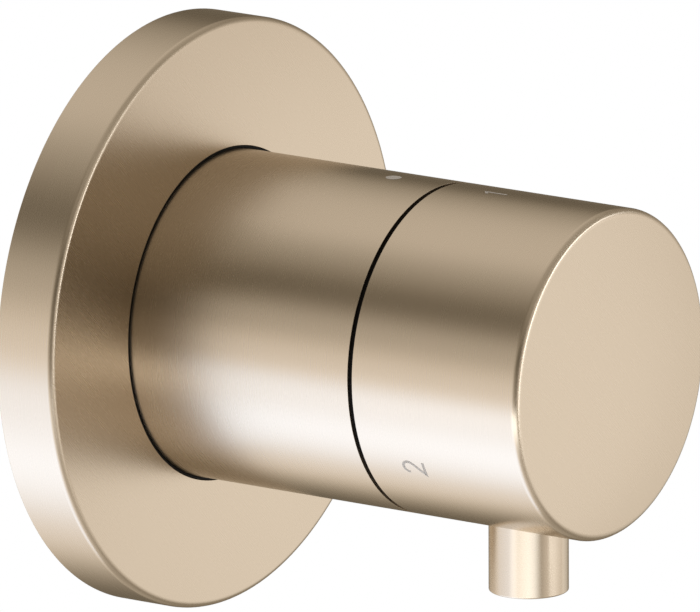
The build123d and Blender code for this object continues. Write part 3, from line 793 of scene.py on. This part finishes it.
class VALVE_OT_marks(Builder, bpy.types.Operator):
    """Builds the index dot on the sleeve and the numbers of the three outlets on the handle"""

    bl_idname = "valve.marks"
    bl_label = "Dot and numbers"

    def execute(self, context):
        marks, look = self.sizes(context, "marks", "finish")
        paint = grained("mark_paint", look.paint, 0.0, 0.5, 3000.0, 0.002 * MM, tint=0.06)
        radius = outer_radius("sleeve") + marks.lift
        dot = build_mesh("index_dot", [self.dot(marks, radius)])
        dress(dot, paint, FIXED_BODY)
        for digit, angle in OUTLETS:
            ribbons = [self.line(marks, radius, path, angle) for path in map(finer, digit_paths(digit))]
            number = build_mesh(f"outlet_number_{digit}", ribbons)
            dress(number, paint, TURNING_BODY)
        return {"FINISHED"}

    @staticmethod
    def dot(marks, radius):
        """A flat dome on the sleeve.

        Its rings lie a share of the dot's radius round its place, and it stands two films high in the
        middle, less the square of that share.
        """
        share, turns = np.linspace(0, 1, DOT_RINGS)[:, None], full_turn(DOT_TURNS)
        across = share * marks.dot_radius * np.sin(turns)
        along = share * marks.dot_radius * np.cos(turns)
        dome = radius + (1 - share**2) * 2 * marks.lift
        points = about_valve_axis(marks.dot_place + along, dome, across / radius)
        return points, grid_faces(DOT_RINGS, DOT_TURNS, False, True)

    @staticmethod
    def line(marks, radius, path, angle):
        """A number's line, wrapped on the handle: right runs clockwise round it and down out of the wall.

        The angle of a point is the number's own, plus its place to the right over the radius.
        """
        ribbon = stroke_ribbon(path, marks.stroke / marks.digit_height) * marks.digit_height
        around = math.radians(angle) + ribbon[..., 0] / radius
        points = about_valve_axis(marks.digit_top + ribbon[..., 1], radius, around)
        return points, grid_faces(len(path), 2, False, False)


# how much of a port's length is threaded, and the divisions of the thread's surface either way
THREADED_SHARE = 0.85
THREAD_GRID = 96


class VALVE_OT_port_threads(Builder, bpy.types.Operator):
    """Builds the pipe thread in the mouth of each port of the valve body"""

    bl_idname = "valve.port_threads"
    bl_label = "Port threads"
    pitch: FloatProperty(
        name="Pitch", description="Pitch of the pipe thread", default=1.814 * MM, unit="LENGTH"
    )
    crest: FloatProperty(
        name="Crest", description="Height of the thread's crest", default=0.45 * MM, unit="LENGTH"
    )

    def execute(self, context):
        brass = turned_brass("threaded_brass", THREAD_COLOUR, THREAD_ROUGHNESS)
        for port in frame["record"]["mounts"]:
            if port["kind"] == "threaded_hole":
                piece = build_mesh("thread_" + port["name"], [self.thread(port)], SHARP_THREAD)
                dress(piece, brass, FIXED_BODY)
        return {"FINISHED"}

    def thread(self, port):
        """A helical ridge inside a port's bore.

        The radius is the bore's, less the crest times a triangle wave of (depth over pitch plus turns),
        which fades out over the first and last pitch.
        """
        bore = port["dims"]["r_mm"] * MM
        length = port["dims"]["length_mm"] * MM * THREADED_SHARE
        depth, angle = np.linspace(0.0, length, THREAD_GRID)[:, None], full_turn(THREAD_GRID)
        phase = (depth / self.pitch + angle / (2 * np.pi)) % 1.0
        wave = 1 - np.abs(2 * phase - 1)
        fade = np.clip(np.minimum(depth, length - depth) / self.pitch, 0, 1)
        radius = (bore - self.crest * wave * fade)[..., None]
        outward, side = np.array(port["axis"], float), np.array((0.0, 1.0, 0.0))
        round_bore = np.cos(angle)[..., None] * side + np.sin(angle)[..., None] * np.cross(outward, side)
        grid = np.array(port["pos_m"]) - depth[..., None] * outward + radius * round_bore
        return grid, grid_faces(THREAD_GRID, THREAD_GRID, False, True)


class VALVE_OT_inner_finishes(Builder, bpy.types.Operator):
    """Gives the valve body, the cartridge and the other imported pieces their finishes"""

    bl_idname = "valve.inner_finishes"
    bl_label = "Finishes of the inner pieces"

    def execute(self, context):
        for name, nodes, *finish in PLAIN_FINISHES:
            paint_nodes(grained(name, *finish), nodes)
        paint_nodes(turned_brass("turned_brass_parts", TURNED_COLOUR, TURNED_ROUGHNESS), TURNED_NODES)
        return {"FINISHED"}


# Studio

# the soft panels round the valve: the azimuth of each and its brightness at the heights, all in degrees,
# where a brightness of 1 is a white panel
PANEL_HEIGHTS = (-65, -45, -25, -5, 15, 33, 50, 72)
PANELS = (
    (-180, (1.26, 1.08, 0.90, 0.95, 0.90, 0.62, 0.80, 0.73)),
    (-145, (1.84, 2.00, 1.57, 0.96, 0.64, 0.15, 0.46, 0.65)),
    (-110, (1.74, 1.90, 1.72, 1.11, 0.61, 0.19, 0.21, 0.49)),
    (-75, (1.35, 1.21, 0.88, 0.42, 0.16, 0.28, 0.38, 0.44)),
    (-40, (0.92, 0.58, 0.32, 0.16, 0.10, 0.26, 0.40, 0.46)),
    (0, (0.69, 0.55, 0.72, 0.92, 0.80, 0.46, 0.40, 0.44)),
    (45, (0.46, 0.30, 0.76, 1.03, 0.64, 0.41, 0.43, 0.48)),
    (90, (0.49, 0.31, 0.38, 0.49, 0.31, 0.31, 0.48, 0.56)),
    (125, (0.60, 0.20, 0.14, 0.17, 0.12, 0.48, 0.75, 0.72)),
)
BRIGHTEST = 2.0
# the panels' colour at a brightness, as its green over its red and its blue over its red
TINTS = (
    (0.0, 0.824, 0.560),
    (0.15, 0.861, 0.646),
    (0.3, 0.889, 0.724),
    (0.5, 0.922, 0.802),
    (0.9, 0.936, 0.862),
    (1.2, 0.973, 0.965),
    (1.5, 1.076, 1.250),
    (2.0, 1.142, 1.422),
)
# what red, green and blue each give to the brightness
RED_SHARE, GREEN_SHARE, BLUE_SHARE = 0.2126, 0.7152, 0.0722

# the places that the lamps are turned to: the lever, the rosette's face, beside the handle, its front edge
LEVER = (0.0, -0.065, -0.045)
FACE = (0.06, -0.009, -0.04)
END = (-0.085, -0.08, 0.03)
EDGE = (-0.015, -0.08, 0.012)
# each lamp: its target, azimuth and elevation from there, distance, size, brightness and reach in degrees
LAMPS = {
    "lever_softbox_left": (LEVER, -92, -18, 0.13, 0.11, 1.3, 23),
    "lever_softbox_middle": (LEVER, -66, -18, 0.13, 0.11, 2.2, 23),
    "lever_softbox_right": (LEVER, -42, -18, 0.13, 0.11, 2.5, 23),
    "lever_side_softbox": (LEVER, 20, -18, 0.15, 0.1, 0.45, 18),
    "face_softbox": (FACE, 55, -14, 0.22, 0.16, 0.36, 90),
    "end_softbox": (END, 55, -14, 0.16, 0.12, 0.3, 90),
    "edge_softbox_1": (EDGE, 52, 16, 0.2, 0.05, 2.5, 12),
    "edge_softbox_2": (EDGE, 33, 14, 0.2, 0.06, 5.0, 12),
    "edge_softbox_3": (EDGE, 15, 4, 0.2, 0.06, 5.0, 12),
    "edge_softbox_4": (EDGE, 10, -14, 0.2, 0.06, 4.0, 12),
}
LAMP_COLOUR = (0.92, 0.985, 1.07)

BACKDROP_RADIUS = 3.0
BACKDROP_ROWS, BACKDROP_COLUMNS = 25, 48
FLOOR_GLOW = 0.45


def direction(azimuth, elevation):
    """The unit vector at an azimuth and an elevation in degrees.

    The azimuth is zero in front of the wall and grows to the right: x is its sine and -y its cosine, both
    times the cosine of the elevation, and z is the elevation's sine.
    """
    turn, lift = math.radians(azimuth), math.radians(elevation)
    return Vector((math.sin(turn) * math.cos(lift), -math.cos(turn) * math.cos(lift), math.sin(lift)))


def colour_ramp(tree, value, stops, interpolation="LINEAR"):
    """The colour at a value, from (position, colour) stops."""
    node = tree.nodes.new("ShaderNodeValToRGB")
    ramp = node.color_ramp
    ramp.interpolation = interpolation
    while len(ramp.elements) < len(stops):
        ramp.elements.new(1.0)
    for element, (position, colour) in zip(ramp.elements, stops):
        element.position = position
        element.color = (*colour, 1)
    tree.links.new(value, node.inputs["Fac"])
    return node.outputs["Color"]


def warmth(level, green, blue):
    """The colour of a panel, as a share of the brightest: its green and blue over its red, at its level.

    The red is the level over the weighted sum of the three, so the brightness stays the same.
    """
    red = level / BRIGHTEST / (RED_SHARE + GREEN_SHARE * green + BLUE_SHARE * blue)
    return (red, red * green, red * blue)


def panel_light(scene):
    """The studio's light: tall panels side by side, each with its brightness at a few heights.

    A panel's brightness is a ramp over the elevation, and the panels blend into their neighbours by a
    smooth step of the azimuth, all the way round. Dim panels are a little warmer and bright ones cooler.
    """
    world = bpy.data.worlds.new("studio_panels")
    world.use_nodes = True
    tree = world.node_tree
    tree.nodes.clear()
    x, y, z = split(tree, coordinate(tree, "Generated"))
    azimuth = math_node(tree, "ARCTAN2", x, math_node(tree, "MULTIPLY", y, -1.0))
    lift = math_node(tree, "ARCSINE", z)
    height = math_node(tree, "ADD", math_node(tree, "DIVIDE", lift, math.pi), 0.5)
    places = [angle / 180 + 0.5 for angle in PANEL_HEIGHTS]
    panels = []
    for _, levels in PANELS:
        greys = [(level / BRIGHTEST,) * 3 for level in levels]
        panels.append(colour_ramp(tree, height, list(zip(places, greys)), "EASE"))
    edges = [math.radians(angle) for angle, _ in PANELS] + [math.pi]
    blend = panels[0]
    for index, following in enumerate(panels[1:] + panels[:1]):
        share = tree.nodes.new("ShaderNodeMapRange")
        share.interpolation_type = "SMOOTHSTEP"
        share.inputs["From Min"].default_value = edges[index]
        share.inputs["From Max"].default_value = edges[index + 1]
        tree.links.new(azimuth, share.inputs["Value"])
        blend = mixed(tree, "RGBA", share.outputs["Result"], blend, following)
    tints = [(level / BRIGHTEST, warmth(level, *ratios)) for level, *ratios in TINTS]
    light = tree.nodes.new("ShaderNodeBackground")
    light.inputs["Strength"].default_value = BRIGHTEST
    tree.links.new(colour_ramp(tree, blend, tints), light.inputs["Color"])
    output = tree.nodes.new("ShaderNodeOutputWorld")
    tree.links.new(light.outputs[0], output.inputs["Surface"])
    scene.world = world


def softbox(scene, name, target, azimuth, elevation, distance, size, brightness, reach):
    """A round softbox at a distance in a direction from its target, which it faces.

    Its brightness is 1 for a white panel and fades to nothing at the reach, an angle from straight ahead
    in degrees. Its power is the brightness times pi squared times its radius squared, times the share
    that the fading leaves: one less the reach over its tangent.
    """
    towards = direction(azimuth, elevation)
    light = bpy.data.lights.new(name, "AREA")
    light.shape = "DISK"
    light.color = LAMP_COLOUR
    light.size = size
    light.spread = math.radians(2 * reach)
    left = 1 - math.radians(reach) / math.tan(math.radians(reach))
    light.energy = brightness * (math.pi * size / 2) ** 2 * left
    lamp = bpy.data.objects.new(name, light)
    lamp.location = Vector(target) + towards * distance
    lamp.rotation_euler = towards.to_track_quat("Z", "Y").to_euler()
    lamp.visible_camera = False
    scene.collection.objects.link(lamp)


def white_globe(material):
    """The white backdrop round everything: its radius times the unit direction, on a grid of directions."""
    lift = np.linspace(-np.pi / 2, np.pi / 2, BACKDROP_ROWS)[:, None]
    distance, radius = -BACKDROP_RADIUS * np.sin(lift), BACKDROP_RADIUS * np.cos(lift)
    globe = about_valve_axis(distance, radius, full_turn(BACKDROP_COLUMNS))
    faces = grid_faces(BACKDROP_ROWS, BACKDROP_COLUMNS, False, True)
    backdrop = build_mesh("studio_backdrop", [(globe, faces)])
    backdrop.data.flip_normals()
    backdrop.data.materials.append(material)
    return backdrop


def only_for_the_camera(*boards):
    """Takes white boards out of the light and the reflections."""
    for board in boards:
        board.visible_diffuse = board.visible_glossy = False
        board.visible_transmission = board.visible_shadow = False


def clear_from_behind(material):
    """Makes a stage material see-through on its back."""
    tree = material.node_tree
    surface = node_of(material, "OUTPUT_MATERIAL").inputs["Surface"]
    side = tree.nodes.new("ShaderNodeNewGeometry")
    clear = tree.nodes.new("ShaderNodeBsdfTransparent")
    both = tree.nodes.new("ShaderNodeMixShader")
    tree.links.new(side.outputs["Backfacing"], both.inputs[0])
    tree.links.new(surface.links[0].from_socket, both.inputs[1])
    tree.links.new(clear.outputs[0], both.inputs[2])
    tree.links.new(both.outputs[0], surface)
    return material


def white_board():
    """Plain white from its front."""
    material, tree, shader = new_material("studio_white")
    tree.nodes.remove(shader)
    white = tree.nodes.new("ShaderNodeEmission")
    tree.links.new(white.outputs[0], node_of(material, "OUTPUT_MATERIAL").inputs["Surface"])
    return clear_from_behind(material)


def pale_floor():
    """A pale painted floor that keeps shadows; what sees it directly or in a mirror sees it lighter still."""
    material = grained("studio_floor_paint", *FLOOR_FINISH)
    tree = material.node_tree
    shader = node_of(material, "BSDF_PRINCIPLED")
    path = tree.nodes.new("ShaderNodeLightPath")
    seen = math_node(tree, "MAXIMUM", path.outputs["Is Camera Ray"], path.outputs["Is Glossy Ray"])
    seen = math_node(tree, "MAXIMUM", seen, path.outputs["Is Transmission Ray"])
    shader.inputs["Emission Color"].default_value = (1.0, 1.0, 1.0, 1.0)
    tree.links.new(math_node(tree, "MULTIPLY", seen, FLOOR_GLOW), shader.inputs["Emission Strength"])
    return clear_from_behind(material)


def plane(name, corners, material):
    """A flat four-cornered stage piece."""
    mesh = bpy.data.meshes.new(name)
    mesh.from_pydata(corners, [], [(0, 1, 2, 3)])
    board = bpy.data.objects.new(name, mesh)
    board.data.materials.append(material)
    bpy.context.scene.collection.objects.link(board)
    return board


class VALVE_OT_studio(Builder, bpy.types.Operator):
    """Builds the white wall, the pale floor, the soft light and the camera"""

    bl_idname = "valve.studio"
    bl_label = "Studio"
    wall_half_width: FloatProperty(
        name="Wall", description="Half width of the wall", default=0.9, unit="LENGTH"
    )
    floor_drop: FloatProperty(name="Floor", description="Floor below the axis", default=0.3, unit="LENGTH")

    def execute(self, context):
        scene = context.scene
        scene.view_settings.view_transform = "Standard"
        panel_light(scene)
        white = white_board()
        half, drop = self.wall_half_width, self.floor_drop
        corners = [(half, 0, half), (-half, 0, half), (-half, 0, -drop), (half, 0, -drop)]
        only_for_the_camera(plane("studio_wall", corners, white), white_globe(white))
        corners = [(-half, -half, -drop), (half, -half, -drop), (half, half, -drop), (-half, half, -drop)]
        plane("studio_floor", corners, pale_floor()).visible_glossy = False
        for name, lamp in LAMPS.items():
            softbox(scene, name, *lamp)
        self.camera(context)
        return {"FINISHED"}

    def camera(self, context):
        """Places the camera so that the origin falls on its picture point.

        The back vector points from the valve to the camera; the camera sits one distance along it, moved
        sideways by the origin's offset from the picture's middle, and its focal length in points is the
        scale times the distance.
        """
        (studio,) = self.sizes(context, "studio")
        back = direction(math.degrees(studio.azimuth), math.degrees(studio.elevation))
        right = Vector((0, 0, 1)).cross(back).normalized()
        up = back.cross(right)
        turned_right = right * math.cos(studio.roll) + up * math.sin(studio.roll)
        turned_up = up * math.cos(studio.roll) - right * math.sin(studio.roll)
        data = bpy.data.cameras.new("photo_camera")
        data.sensor_width = SENSOR
        data.lens = studio.scale * studio.distance * SENSOR / PICTURE_WIDTH
        camera = bpy.data.objects.new("photo_camera", data)
        aside = (studio.origin_x - PICTURE_WIDTH / 2) / studio.scale
        above = (studio.origin_y - PICTURE_HEIGHT / 2) / studio.scale
        place = back * studio.distance - turned_right * aside + turned_up * above
        axes = Matrix((turned_right, turned_up, back)).transposed().to_4x4()
        camera.matrix_world = Matrix.Translation(place) @ axes
        context.scene.collection.objects.link(camera)
        context.scene.camera = camera


OPERATORS = (
    VALVE_OT_rosette,
    VALVE_OT_sleeve,
    VALVE_OT_handle,
    VALVE_OT_lever,
    VALVE_OT_seals,
    VALVE_OT_marks,
    VALVE_OT_port_threads,
    VALVE_OT_inner_finishes,
    VALVE_OT_studio,
)


class VALVE_PT_panel(bpy.types.Panel):
    """Lists the operators and the settings of the valve's dressing"""

    bl_label = "Diverter Valve"
    bl_space_type = "VIEW_3D"
    bl_region_type = "UI"
    bl_category = "Diverter Valve"

    def draw(self, context):
        for operator in OPERATORS:
            self.layout.operator(operator.bl_idname)
        for group, kind in SIZES.items():
            box = self.layout.box()
            for name in kind.__annotations__:
                box.prop(getattr(context.scene, "valve_" + group), name)


def register():
    """Registers the settings, the operators and the panel."""
    for group, kind in SIZES.items():
        bpy.utils.register_class(kind)
        setattr(bpy.types.Scene, "valve_" + group, PointerProperty(type=kind))
    for kind in (*OPERATORS, VALVE_PT_panel):
        bpy.utils.register_class(kind)


def unregister():
    """Takes the panel, the operators and the settings out again."""
    for kind in (VALVE_PT_panel, *reversed(OPERATORS)):
        bpy.utils.unregister_class(kind)
    for group, kind in SIZES.items():
        delattr(bpy.types.Scene, "valve_" + group)
        bpy.utils.unregister_class(kind)


def main():
    register()
    for operator in OPERATORS:
        group, name = operator.bl_idname.split(".")
        getattr(getattr(bpy.ops, group), name)()


if __name__ == "__main__":
    main()
